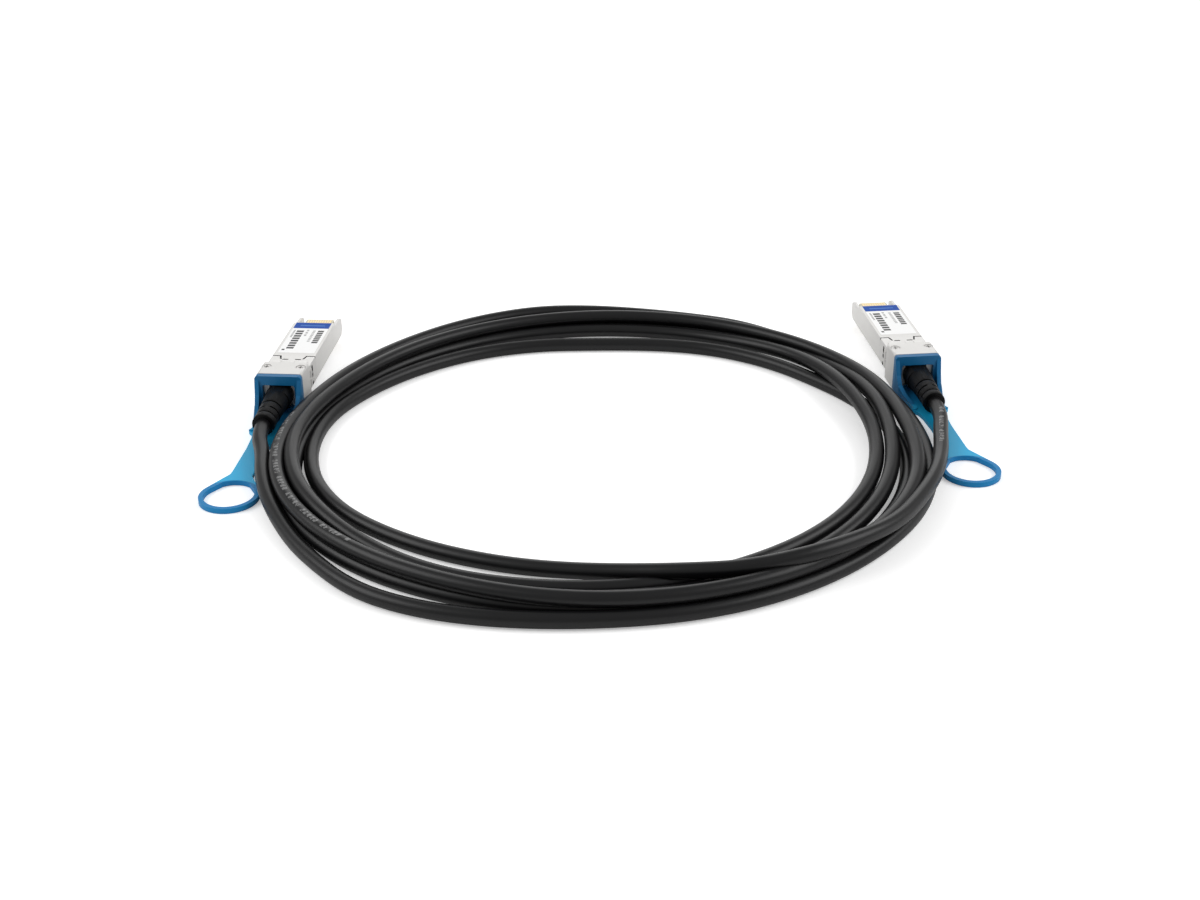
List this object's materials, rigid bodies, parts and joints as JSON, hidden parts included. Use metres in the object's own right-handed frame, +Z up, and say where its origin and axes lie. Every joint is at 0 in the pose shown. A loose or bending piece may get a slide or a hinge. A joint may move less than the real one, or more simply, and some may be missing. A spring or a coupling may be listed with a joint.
{
  "type": "direct attach copper cable",
  "caption": "Passive twinax network cable with a pluggable module plug, grooved boot and pull tab at each end, lying in a loose round coil.",
  "frame": {"origin": "on the floor, under the middle of the box round the two plugs with their boots and pull tabs", "axes": "+X from the left plug to the right one, +Y towards the plugs' mating ends, +Z up"},
  "size_m": [0.2204, 0.1915, 0.012],
  "materials": {
    "die_cast": "satin plated die casting",
    "spring_steel": "satin sheet",
    "card": "solder mask",
    "gold": "plated",
    "insulation": "satin",
    "ferrule": "plated",
    "screw": "satin",
    "label": "printed film",
    "boot": "matt moulded",
    "tab": "satin moulded",
    "jacket": "satin extruded"
  },
  "bodies": {
    "cable": {"coil": "jacket", "left_tail": "jacket", "right_tail": "jacket", "left_lower_housing": "die_cast", "left_top_cover": "die_cast", "left_spring_collar": "spring_steel", "left_circuit_card": "card", "left_edge_contacts": "gold", "left_conductors": "insulation", "left_ferrule": "ferrule", "left_cover_screws": "screw", "left_label": "label", "left_boot": "boot", "left_return_spring": "spring_steel", "right_lower_housing": "die_cast", "right_top_cover": "die_cast", "right_spring_collar": "spring_steel", "right_circuit_card": "card", "right_edge_contacts": "gold", "right_conductors": "insulation", "right_ferrule": "ferrule", "right_cover_screws": "screw", "right_label": "label", "right_boot": "boot", "right_return_spring": "spring_steel"},
    "left_release": {"left_pull_tab": "tab", "left_release_slider": "spring_steel"},
    "right_release": {"right_pull_tab": "tab", "right_release_slider": "spring_steel"}
  },
  "joints": [
    {"name": "left_pull", "type": "slide", "parent": "cable", "child": "left_release", "axis": [-0.0774, -0.997, 0], "range_m": [0, 0.0025], "stiffness_N_per_m": 300, "deforming": ["left_return_spring"]},
    {"name": "right_pull", "type": "slide", "parent": "cable", "child": "right_release", "axis": [0.0972, -0.9953, 0], "range_m": [0, 0.0025], "stiffness_N_per_m": 300, "deforming": ["right_return_spring"]}
  ]
}
